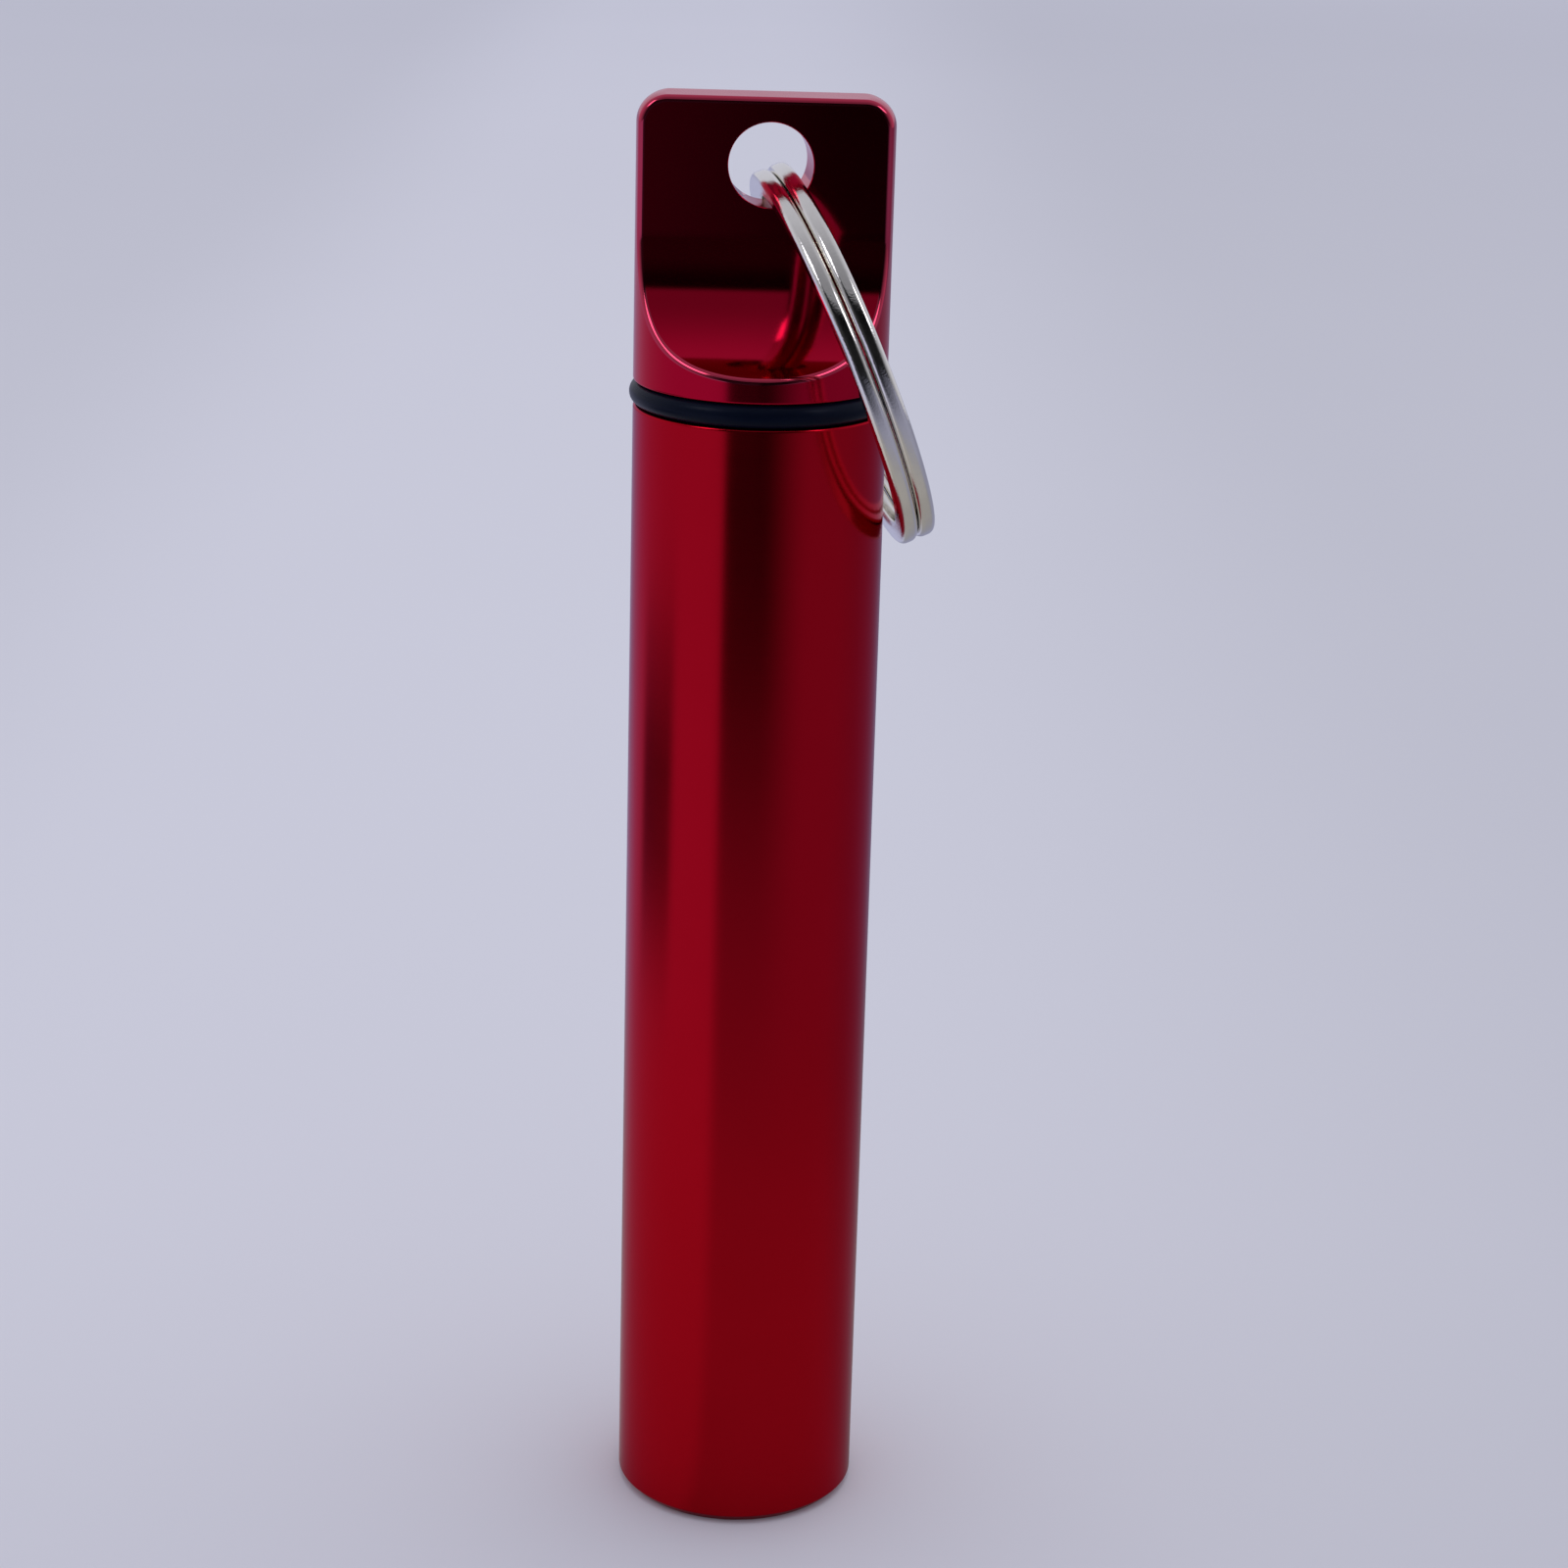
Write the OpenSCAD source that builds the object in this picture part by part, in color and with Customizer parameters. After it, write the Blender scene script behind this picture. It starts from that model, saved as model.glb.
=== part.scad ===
// Pill fob: a turned tube for pills, a screw cap with a flat tab and a cross
// hole, an O-ring between the two, and a split key ring through the hole.
// The origin is the centre of the flat base. +Z runs up the tube, X runs
// across the tab, and Y runs through its thickness. The key ring hangs at +X.

/* [Tube] */
// Outside diameter of the tube and the cap
body_d = 16; // [14:0.5:22]
// Height of the tube, from the base to the lip
tube_h = 75; // [40:1:120]
// Wall of the tube beside the pill bore
wall = 1.65; // [1.4:0.05:2.2]
// Thickness of the closed end
floor_t = 2; // [1.2:0.1:5]
// Edge break round the base
base_break = 0.6; // [0.1:0.05:0.8]
// Edge break at the outside of the lip and of the cap's shoulder
lip_break = 0.2; // [0.1:0.05:0.3]

/* [Thread] */
// Pitch of the right-hand thread
thread_pitch = 1.25; // [1:0.05:1.5]
// Depth of the thread, crest to root
thread_depth = 0.7; // [0.5:0.05:0.8]
// Flat width of a thread crest
thread_flat = 0.16; // [0.1:0.02:0.2]
// Radial clearance between a crest and the root that it faces
thread_gap = 0.15; // [0.1:0.01:0.2]
// Length of the cap's neck below the shoulder
neck_l = 7; // [5:0.25:12]
// Bevel at the end of the neck
neck_break = 0.7; // [0.3:0.1:1]
// Room in the mouth below the end of the neck
mouth_room = 0.8; // [0.4:0.1:3]

/* [Cap] */
// Height of the cap above its shoulder
cap_h = 17.8; // [16.5:0.1:24]
// Rounding of the cap's top edge
cap_round = 1.8; // [0.5:0.1:2.5]
// Full round height of the cap under the scoops
skirt_h = 1.55; // [1:0.05:2.5]
// Radius of the concave scoop on each side
scoop_r = 8.6; // [7.5:0.1:9.5]
// Thickness of the tab between the scoops
tab_t = 4; // [3:0.1:5]
// Diameter of the cross hole
eye_d = 5.2; // [5:0.05:6]
// Distance from the cap's top to the centre of the cross hole
eye_drop = 4.1; // [3.6:0.1:5]
// Distance of the cross hole sideways from the middle of the tab
eye_shift = 0.15; // [0:0.05:0.4]
// Angle at which the cross hole runs through the tab, from square
eye_skew = 5.75; // [0:0.25:8]

/* [O-ring] */
// Height of the squeezed O-ring between the shoulder and the lip
seal_h = 1.5; // [1.2:0.1:2]
// Radial width of the squeezed O-ring
seal_w = 2; // [1.8:0.05:2.4]
// How far the O-ring stands proud of the body
seal_proud = 0.25; // [0.1:0.05:0.5]
// Clearance between the O-ring and the neck inside it
seal_gap = 0.25; // [0.1:0.05:0.35]

/* [Split ring] */
// Outside diameter of the split ring
ring_d = 25; // [24.5:0.5:32]
// Radial width of the ring's wire
wire_w = 1.6; // [1.3:0.1:1.7]
// Thickness of one coil of the wire
wire_t = 1.1; // [0.8:0.05:1.2]
// Rounding of the wire's corners
wire_round = 0.3; // [0.2:0.05:0.5]
// Gap between the two coils
coil_gap = 0.06; // [0.05:0.01:0.2]
// Clearance between the wire and the bottom of the cross hole
eye_gap = 0.06; // [0.05:0.01:0.15]
// Clearance between the hanging ring and the side of the tube
lean_gap = 0.27; // [0.1:0.01:0.5]
// Turn of the ring about its hanging direction
ring_yaw = -4; // [-6:1:6]

/* [Hidden] */
$fn = 96;
// Overlap that keeps cuts clean, and how far a thread's root is buried
eps = 0.01;
thread_bury = 0.25;
// Steps to a turn of thread and of ring, and the turn over which a thread fades in
thread_steps = 48;
ring_steps = 60;
fade_deg = 90;
flank_deg = 30;

body_r = body_d / 2;
bore_r = body_r - wall;
// The female thread fills from the root inwards to the bore's radius
mouth_r = bore_r + thread_depth;
neck_r = bore_r - thread_gap;
neck_crest_r = neck_r + thread_depth;

shoulder_z = tube_h + seal_h;
top_z = shoulder_z + cap_h;
neck_end_z = shoulder_z - neck_l;
mouth_end_z = neck_end_z - mouth_room;

seal_out_r = body_r + seal_proud;
seal_in_r = seal_out_r - seal_w;
relief_r = seal_in_r - seal_gap;
// The neck stays slim past the O-ring and just into the mouth, and then
// widens at 45 degrees to its thread
relief_l = seal_h + 2 * lip_break;
thread_top_z = shoulder_z - relief_l - (neck_r - relief_r);

// Centre line of the scoop: it leaves the tab's flat face and comes out of
// the cap's side at the top of the skirt
scoop_y = tab_t / 2 + scoop_r;
scoop_drop = sqrt(scoop_r ^ 2 - (scoop_y - body_r) ^ 2);
scoop_z = shoulder_z + skirt_h + scoop_drop;
eye_z = top_z - eye_drop;
eye_r = eye_d / 2;

// The pair of coils as one section
coil_step = wire_t + coil_gap;
pair_t = coil_step + wire_t;
ring_r = (ring_d - wire_w) / 2;
inner_r = ring_r - wire_w / 2;
// Half the length of the skewed hole, at the end of its rim that lies furthest
eye_half = tab_t / 2 / cos(eye_skew) + eye_r * tan(eye_skew);
// A corner of the pair is what meets the hole first, and the ring's curve
// drops it further at the hole's ends, where the yaw also moves it sideways
corner_x = pair_t / 2 - wire_round + eye_half * tan(abs(ring_yaw));
corner_reach = sqrt((eye_r - eye_gap - wire_round) ^ 2 - corner_x ^ 2);
curve_drop = inner_r - sqrt(inner_r ^ 2 - eye_half ^ 2);
hang = corner_reach - curve_drop - (wire_w / 2 - wire_round);
ring_centre = hang + ring_r;
// The ring hangs down until its lowest stretch lies against the tube: its
// lean is the angle at which the rounded corner there is lean_gap away. The
// hole's offset brings the tube nearer on one side than on the other
lean_reach = ring_centre + ring_r - (wire_w / 2 - wire_round);
lean_arm = sqrt(lean_reach ^ 2 + (pair_t / 2 - wire_round) ^ 2);
function lean_against(side) =
    asin((side + lean_gap + wire_round) / lean_arm)
    + atan((pair_t / 2 - wire_round) / lean_reach);
eye_offset = eye_shift * cos(eye_skew);
lean = lean_against(body_r - eye_offset);
far_lean = lean_against(body_r + eye_offset);
// Where the wire steps from one coil to the other: the hidden far side
step_deg = 22;
step_at = 100;

// Faces of a closed sweep: count rings of sides points, capped at both ends
function sweep_faces(count, sides) = concat(
    [for (i = [0 : count - 2], k = [0 : sides - 1])
        [i * sides + k, (i + 1) * sides + (k + 1) % sides, (i + 1) * sides + k]],
    [for (i = [0 : count - 2], k = [0 : sides - 1])
        [i * sides + k, i * sides + (k + 1) % sides, (i + 1) * sides + (k + 1) % sides]],
    [[for (k = [sides - 1 : -1 : 0]) k]],
    [[for (k = [0 : sides - 1]) (count - 1) * sides + k]]
);

// One cross-section of a thread ridge, h high from its buried root at r
// (inwards where side is -1), with its middle at z, turned to angle a
function ridge_section(r, h, side, z, a) =
    let (crest = thread_flat / 2, root = crest + h * tan(flank_deg))
    [for (p = [[0, -root], [h, -crest], [h, crest], [0, root]])
        [(r + side * p[0]) * cos(a), (r + side * p[0]) * sin(a), z + p[1]]];

// A helical ridge from z_low to z_high. Its root is at root_r, its crest at
// crest_r, and shift moves it along the thread by that share of a pitch
module thread_ridge(root_r, crest_r, z_low, z_high, shift) {
    side = sign(crest_r - root_r);
    high = abs(crest_r - root_r) + thread_bury;
    base_r = root_r - side * thread_bury;
    half = thread_flat / 2 + high * tan(flank_deg);
    // Turns are counted from the tube's lip, so both threads share one helix
    first = ((z_low + half - tube_h) / thread_pitch - shift) * 360;
    last = ((z_high - half - tube_h) / thread_pitch - shift) * 360;
    count = ceil((last - first) / 360 * thread_steps);
    turn = (last - first) / count;
    points = [for (i = [0 : count])
        let (a = first + i * turn,
             grown = min(1, (a - first) / fade_deg, (last - a) / fade_deg),
             h = max(thread_bury / 2, grown * high))
        each ridge_section(base_r, h, side,
                           tube_h + (a / 360 + shift) * thread_pitch, a)];
    faces = sweep_faces(count + 1, 4);
    polyhedron(points, side > 0 ? faces : [for (f = faces) [for (k = [len(f) - 1 : -1 : 0]) f[k]]]);
}

module capsule_tube() {
    color([0.62, 0.03, 0.10]) {
        rotate_extrude()
            polygon([
                [0, 0], [body_r - base_break, 0], [body_r, base_break],
                [body_r, tube_h - lip_break], [body_r - lip_break, tube_h],
                [mouth_r + lip_break, tube_h], [mouth_r, tube_h - lip_break],
                [mouth_r, mouth_end_z], [bore_r, mouth_end_z - thread_depth],
                [bore_r, floor_t], [0, floor_t]
            ]);
        thread_ridge(mouth_r, bore_r, mouth_end_z, tube_h - lip_break, 0.5);
    }
}

// The cap before the scoops are cut: turned, with a rounded top edge
module cap_blank() {
    rotate_extrude()
        difference() {
            translate([0, shoulder_z])
                square([body_r, cap_h]);
            translate([body_r - cap_round, top_z - cap_round])
                difference() {
                    square(cap_round + 1);
                    circle(cap_round);
                }
            polygon([
                [body_r - lip_break, shoulder_z], [body_r + lip_break, shoulder_z - lip_break],
                [body_r + lip_break, shoulder_z + lip_break * 2]
            ]);
        }
}

// What the side cutter takes away at +Y: a round scoop that runs up into the
// flat face of the tab
module scoop() {
    translate([-body_d, scoop_y, scoop_z])
        rotate([0, 90, 0])
            cylinder(r = scoop_r, h = 2 * body_d);
    translate([-body_d, tab_t / 2, scoop_z])
        cube([2 * body_d, body_d, body_d * 2]);
}

// Puts its children in the cross hole, with Y along the hole
module at_eye() {
    translate([eye_shift, 0, eye_z])
        rotate([0, 0, eye_skew])
            children();
}

module neck() {
    rotate_extrude()
        polygon([
            [0, shoulder_z + eps], [relief_r, shoulder_z + eps],
            [relief_r, shoulder_z - relief_l], [neck_r, thread_top_z],
            [neck_r, neck_end_z + neck_break], [neck_r - neck_break, neck_end_z],
            [0, neck_end_z]
        ]);
    thread_ridge(neck_r, neck_crest_r, neck_end_z + neck_break, thread_top_z, 0);
}

module screw_cap() {
    color([0.62, 0.03, 0.10]) {
        difference() {
            cap_blank();
            scoop();
            mirror([0, 1, 0])
                scoop();
            at_eye()
                rotate([90, 0, 0])
                    cylinder(r = eye_r, h = body_d, center = true);
        }
        neck();
    }
}

module o_ring() {
    color([0.06, 0.07, 0.09])
        rotate_extrude() {
            for (r = [seal_in_r + seal_h / 2, seal_out_r - seal_h / 2])
                translate([r, tube_h + seal_h / 2])
                    circle(d = seal_h);
            translate([seal_in_r + seal_h / 2, tube_h])
                square([seal_w - seal_h, seal_h]);
        }
}

// Outline of the wire: a rectangle, radial width by thickness, with each
// corner rounded in three points
wire_outline = [for (corner = [0 : 3], a = [0, 45, 90])
    let (sx = corner == 0 || corner == 3 ? 1 : -1, sy = corner < 2 ? 1 : -1,
         turn = corner * 90 + a)
    [sx * (wire_w / 2 - wire_round) + wire_round * cos(turn),
     sy * (wire_t / 2 - wire_round) + wire_round * sin(turn)]];

// How far along its own axis the wire lies at angle a, from 0 to 720 less
// the step: one coil, a smooth step across, and the other coil
function coil_side(a) =
    a <= 360 - step_deg ? -coil_step / 2
    : a >= 360 ? coil_step / 2
    : -coil_step / 2 * cos((a - 360 + step_deg) / step_deg * 180);

// The ring about its own centre: its axis is Z and it hangs from +X
module coiled_wire() {
    span = 720 - step_deg;
    count = ceil(span / 360 * ring_steps);
    points = [for (i = [0 : count])
        let (a = span * i / count)
        for (p = wire_outline)
            [(ring_r + p[0]) * cos(a + step_at), (ring_r + p[0]) * sin(a + step_at),
             coil_side(a) + p[1]]];
    polyhedron(points, sweep_faces(count + 1, len(wire_outline)));
}

module split_ring() {
    color([0.80, 0.80, 0.78])
        at_eye()
            rotate([0, 90 - lean, 0])
                translate([ring_centre, 0, 0])
                    rotate([ring_yaw, 0, 0])
                        coiled_wire();
}

echo(bore_r = bore_r, mouth_r = mouth_r, top_z = top_z, eye_z = eye_z, scoop_z = scoop_z);
echo(lean = lean, hang = hang, ring_centre = ring_centre, pair_t = pair_t);
echo(swing_range = 360 - lean - far_lean, neck_in = tube_h - neck_end_z);

capsule_tube();
screw_cap();
o_ring();
split_ring();
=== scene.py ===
"""Builds and dresses the pill fob: tube, screw cap, O-ring and split ring, in a plain studio."""

import logging
import math
from collections.abc import Sequence
from dataclasses import dataclass, field
from enum import Enum
from functools import reduce

import bmesh
import bpy
import numpy as np
from bpy.types import Material, Node, NodeSocket, NodeTree, Object
from mathutils import Matrix, Vector
from mathutils.geometry import tessellate_polygon
from mathutils.kdtree import KDTree


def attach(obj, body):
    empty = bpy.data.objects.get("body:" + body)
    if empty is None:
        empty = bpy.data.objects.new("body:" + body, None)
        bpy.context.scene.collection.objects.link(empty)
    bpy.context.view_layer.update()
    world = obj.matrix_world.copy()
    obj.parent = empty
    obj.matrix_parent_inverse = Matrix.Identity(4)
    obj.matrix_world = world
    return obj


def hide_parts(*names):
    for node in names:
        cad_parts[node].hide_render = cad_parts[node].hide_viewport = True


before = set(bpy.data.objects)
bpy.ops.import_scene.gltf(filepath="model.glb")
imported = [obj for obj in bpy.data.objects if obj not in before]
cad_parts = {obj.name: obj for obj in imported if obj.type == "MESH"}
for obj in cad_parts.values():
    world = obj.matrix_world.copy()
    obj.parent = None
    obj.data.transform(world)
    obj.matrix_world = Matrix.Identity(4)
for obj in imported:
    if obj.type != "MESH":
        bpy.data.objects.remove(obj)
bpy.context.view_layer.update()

log = logging.getLogger("pill_fob")

MM = 0.001
TO_METRES = Matrix.Scale(MM, 4)

# Lengths in millimetres under which points are one, and an edge is none
SEAM = 2e-5
SLIVER = 1e-6
SWEPT_SEAM = 1e-5

# A direction whose part along an axis is more than this points along that axis
SQUARE = 1 - 1e-12

Colour = tuple[float, float, float]
Point = tuple[float, float, float]
RimRow = tuple[np.ndarray, np.ndarray, np.ndarray]


class Body(Enum):
    """The bodies that a piece can ride on."""

    TUBE = "tube"
    SEAL = "seal"
    CAP = "cap"
    RING = "ring"


class Slot(Enum):
    """The record's material slots."""

    RED = "red_anodised"
    RUBBER = "black_rubber"
    NICKEL = "nickel_plate"


class Side(Enum):
    """A side of the tab: front is towards the camera."""

    FRONT = -1
    BACK = 1


class Skin(Enum):
    """The cap's finishes, in the order of its material slots."""

    TURNED = 0
    MILLED = 1
    BROKEN = 2


# Meshes


@dataclass
class Shell:
    """Collects the patches of one closed surface, with the exact normal at each point.

    Sizes are in millimetres. Patches share their seams, and welding joins them.
    """

    points: list[Point] = field(default_factory=list)
    normals: list[Point] = field(default_factory=list)
    faces: list[tuple[int, ...]] = field(default_factory=list)
    finishes: list[int] = field(default_factory=list)

    def add(self, points: Sequence[Point], normals: Sequence[Point]) -> list[int]:
        """Adds points with their normals.

        Args:
            points: places in millimetres.
            normals: outward normals, one for each point.

        Returns:
            The indices of the new points.
        """
        first = len(self.points)
        self.points += [tuple(map(float, p)) for p in points]
        self.normals += [tuple(map(float, n)) for n in normals]
        return list(range(first, len(self.points)))

    def face(self, corners: Sequence[int], skin: Skin = Skin.TURNED) -> None:
        """Adds one face over the indices in corners, with its finish."""
        self.faces.append(tuple(corners))
        self.finishes.append(skin.value)

    def fill(self, rows: Sequence[Sequence[int]], skin: Skin = Skin.TURNED) -> None:
        """Fills between each row of points and the next.

        Args:
            rows: indices of the points, as many in each row.
            skin: the finish.
        """
        for one, two in zip(rows, rows[1:], strict=False):
            for corners in zip(one, one[1:], two[1:], two, strict=False):
                self.face(corners, skin)

    def build(self, name: str) -> Object:
        """Welds the patches, turns every face outwards and sets the exact normals.

        Args:
            name: name of the new object.

        Returns:
            The object, at the origin, in metres.
        """
        places = np.array(self.points)
        wanted = np.array(self.normals)
        mesh = bpy.data.meshes.new(name)
        bm = bmesh.new()
        verts = [bm.verts.new(p) for p in places]
        for corners, finish in zip(self.faces, self.finishes, strict=True):
            ids = list(dict.fromkeys(corners))
            flat = [places[i] for i in ids]
            around = sum((np.cross(a - flat[0], b - flat[0]) for a, b in zip(flat, flat[1:])), np.zeros(3))
            if around @ wanted[ids].sum(axis=0) < 0:
                ids.reverse()
            bm.faces.new([verts[i] for i in ids]).material_index = finish
        bmesh.ops.remove_doubles(bm, verts=bm.verts, dist=SEAM)
        bmesh.ops.dissolve_degenerate(bm, edges=bm.edges, dist=SLIVER)
        loose = [v for v in bm.verts if not v.link_faces]
        bmesh.ops.delete(bm, geom=loose, context="VERTS")
        bm.to_mesh(mesh)
        bm.free()
        tree = KDTree(len(places))
        for i, place in enumerate(places):
            tree.insert(place, i)
        tree.balance()
        exact = [wanted[tree.find(v.co)[1]] for v in mesh.vertices]
        mesh.shade_smooth()
        mesh.normals_split_custom_set_from_vertices([n / np.linalg.norm(n) for n in exact])
        mesh.transform(TO_METRES)
        piece = bpy.data.objects.new(name, mesh)
        bpy.context.scene.collection.objects.link(piece)
        return piece


@dataclass(frozen=True)
class Corner:
    """A corner of a turned outline: radius, height and the size of its rounding."""

    r: float
    z: float
    rounding: float = 0.0


@dataclass(frozen=True)
class TurnedOutline:
    """The outline of a turned solid, from its foot outwards and up, with rounded corners."""

    corners: tuple[Corner, ...]
    steps: int = 6

    def samples(self) -> list[tuple[float, float, float, float]]:
        """Follows the outline.

        Returns:
            Its points with their normals, as radius, height, normal outwards and normal up.
        """
        spots = [np.array([c.r, c.z]) for c in self.corners]
        out: list[tuple[float, float, float, float]] = []
        for i, corner in enumerate(self.corners):
            here = spots[i]
            if i in (0, len(spots) - 1):
                other = spots[1] - here if i == 0 else here - spots[-2]
                way = other / np.linalg.norm(other)
                out.append((*here, way[1], -way[0]))
                continue
            come = (here - spots[i - 1]) / np.linalg.norm(here - spots[i - 1])
            go = (spots[i + 1] - here) / np.linalg.norm(spots[i + 1] - here)
            turn = math.atan2(come[0] * go[1] - come[1] * go[0], come @ go)
            reach = math.copysign(corner.rounding, turn)
            back = corner.rounding * math.tan(abs(turn) / 2)
            middle = here - come * back + reach * np.array([-come[1], come[0]])
            for k in range(self.steps + 1):
                c, s = math.cos(turn * k / self.steps), math.sin(turn * k / self.steps)
                normal = np.array([come[1] * c + come[0] * s, come[1] * s - come[0] * c])
                out.append((*(middle + reach * normal), *normal))
        return out

    def revolve(self, shell: Shell, around: int) -> None:
        """Turns the outline about Z into the shell.

        Args:
            shell: shell that takes the surface.
            around: number of steps to the full circle.
        """
        angles = [2 * math.pi * j / around for j in range(around + 1)]
        shell.fill([
            shell.add(
                [(r * math.sin(a), r * math.cos(a), z) for a in angles],
                [(nr * math.sin(a), nr * math.cos(a), nz) for a in angles],
            )
            for r, z, nr, nz in self.samples()
        ])


# Node trees


@dataclass(frozen=True)
class Step:
    """A smooth step: from start to end, while what drives it goes from low to high."""

    low: float | NodeSocket
    high: float
    start: float
    end: float


def over_degrees(low: float, high: float, start: float, end: float) -> Step:
    """A smooth step over an angle, with low and high in degrees."""
    return Step(math.radians(low), math.radians(high), start, end)


class Graph:
    """Adds and links nodes of a tree in few words."""

    def __init__(self, tree: NodeTree) -> None:
        """Starts from an empty tree."""
        self.tree = tree
        tree.nodes.clear()

    def give(self, socket: NodeSocket, value: object) -> None:
        """Gives an input a value, or the socket that drives it.

        Args:
            socket: the input.
            value: a plain value or an output.
        """
        if isinstance(value, NodeSocket):
            self.tree.links.new(value, socket)
        else:
            socket.default_value = value

    def add(self, kind: str, feed: dict[int | str, object] | None = None, **settings: object) -> Node:
        """Adds a node.

        Args:
            kind: the node's type name.
            feed: for each input, by name or number, a value or the socket that drives it.
            settings: properties of the node.

        Returns:
            The node.
        """
        node = self.tree.nodes.new(kind)
        for key, value in settings.items():
            setattr(node, key, value)
        for key, value in (feed or {}).items():
            self.give(node.inputs[key], value)
        return node

    def out(self, kind: str, feed: dict[int | str, object] | None = None, **settings: object) -> NodeSocket:
        """Adds a node and gives its first output."""
        return self.add(kind, feed, **settings).outputs[0]

    def math(self, operation: str, *values: object, clamp: bool = False) -> NodeSocket:
        """The result of a maths node over values and sockets."""
        feed = dict(enumerate(values))
        return self.out("ShaderNodeMath", feed, operation=operation, use_clamp=clamp)

    def product(self, *values: object) -> NodeSocket:
        """The product of values and sockets, multiplied in their order."""
        return reduce(lambda one, two: self.math("MULTIPLY", one, two), values)

    def less(self, one: object, two: object) -> NodeSocket:
        """The first of two values or sockets less the second."""
        return self.math("SUBTRACT", one, two)

    def off_by(self, value: object, middle: float) -> NodeSocket:
        """How far a value is from middle, on either side."""
        return self.math("ABSOLUTE", self.math("ADD", value, -middle))

    def about_zero(self, share: object, depth: object) -> NodeSocket:
        """A share from 0 to 1, moved to lie about zero and multiplied by depth."""
        return self.product(self.less(share, 0.5), depth)

    def ramp(self, value: object, step: Step) -> NodeSocket:
        """A smooth step over a value."""
        feed = {"Value": value, 1: step.low, 2: step.high, 3: step.start, 4: step.end}
        return self.add("ShaderNodeMapRange", feed, interpolation_type="SMOOTHSTEP").outputs["Result"]

    def ramps(self, *pairs: tuple[object, Step]) -> NodeSocket:
        """The product of smooth steps, each over its own value."""
        return self.product(*(self.ramp(value, step) for value, step in pairs))

    def mix(self, share: object, one: object, two: object, blend: str = "MIX") -> NodeSocket:
        """Mixes two colours.

        Args:
            share: 0 for the first colour and 1 for the second.
            one: the first colour.
            two: the second colour.
            blend: how they are mixed.

        Returns:
            The mixed colour.
        """
        node = self.add("ShaderNodeMix", data_type="RGBA", blend_type=blend)
        sockets = [s for s in node.inputs if s.identifier in ("Factor_Float", "A_Color", "B_Color")]
        for socket, value in zip(sockets, (share, one, two), strict=True):
            self.give(socket, (*value, 1.0) if isinstance(value, tuple) else value)
        return next(s for s in node.outputs if s.identifier == "Result_Color")

    def dimmed(self, colour: object, level: NodeSocket) -> NodeSocket:
        """A colour times a level."""
        grey = self.out("ShaderNodeCombineColor", dict.fromkeys(range(3), level))
        return self.mix(1.0, colour, grey, "MULTIPLY")

    def noise(self, place: object, scale: object, detail: float, roughness: float = 0.5) -> NodeSocket:
        """A noise texture's value, from 0 to 1."""
        feed = {"Vector": place, "Scale": scale, "Detail": detail, "Roughness": roughness}
        return self.out("ShaderNodeTexNoise", feed)

    def place(self, kind: str) -> tuple[NodeSocket, object]:
        """The texture coordinates of a kind, whole and as three parts."""
        whole = self.add("ShaderNodeTexCoord").outputs[kind]
        return whole, self.add("ShaderNodeSeparateXYZ", {0: whole}).outputs

    def azimuth(self, parts: object) -> NodeSocket:
        """The azimuth of a vector's parts: 0 towards -Y and growing towards +X."""
        return self.math("ARCTAN2", parts["X"], self.product(parts["Y"], -1.0))


class Group(Graph):
    """A node group with named inputs, read from given, and named outputs. A plain name is a number's."""

    KINDS = {"Geometry": "NodeSocketGeometry", "Steps": "NodeSocketInt", "Material": "NodeSocketMaterial"}

    def __init__(self, kind: str, name: str, takes: dict[str, float | None], gives: Sequence[str]) -> None:
        """Makes the group.

        Args:
            kind: type of the tree.
            name: name of the group.
            takes: its inputs, with a plain value for each, if it has one.
            gives: its outputs.
        """
        super().__init__(bpy.data.node_groups.new(name, kind))
        for way, names in (("INPUT", takes), ("OUTPUT", gives)):
            for key in names:
                kind = self.KINDS.get(key, "NodeSocketFloat")
                self.tree.interface.new_socket(key, in_out=way, socket_type=kind)
        for socket in self.tree.interface.items_tree:
            if takes.get(socket.name) is not None:
                socket.default_value = takes[socket.name]
        self.given = self.add("NodeGroupInput").outputs


def geometry_mesh(name: str, tree: NodeTree, sizes: dict[str, object]) -> Object:
    """Runs a geometry tree with named sizes and keeps the result as a plain closed mesh.

    Args:
        name: name of the new object.
        tree: the geometry tree.
        sizes: a value for each named input.

    Returns:
        The object, in millimetres, smooth, with its faces outwards and no modifier.
    """
    seed = bpy.data.objects.new(name, bpy.data.meshes.new(name + "_seed"))
    bpy.context.scene.collection.objects.link(seed)
    modifier = seed.modifiers.new("shape", "NODES")
    modifier.node_group = tree
    sockets = {s.name: s.identifier for s in tree.interface.items_tree if s.item_type == "SOCKET"}
    for key, value in sizes.items():
        modifier[sockets[key]] = value
    bpy.context.view_layer.update()
    graph = bpy.context.evaluated_depsgraph_get()
    mesh = bpy.data.meshes.new_from_object(seed.evaluated_get(graph), depsgraph=graph)
    seed.modifiers.remove(modifier)
    seed.data = mesh
    mesh.name = name
    bm = bmesh.new()
    bm.from_mesh(mesh)
    bmesh.ops.remove_doubles(bm, verts=bm.verts, dist=SWEPT_SEAM)
    bmesh.ops.recalc_face_normals(bm, faces=bm.faces)
    bm.to_mesh(mesh)
    bm.free()
    mesh.shade_smooth()
    return seed


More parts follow.
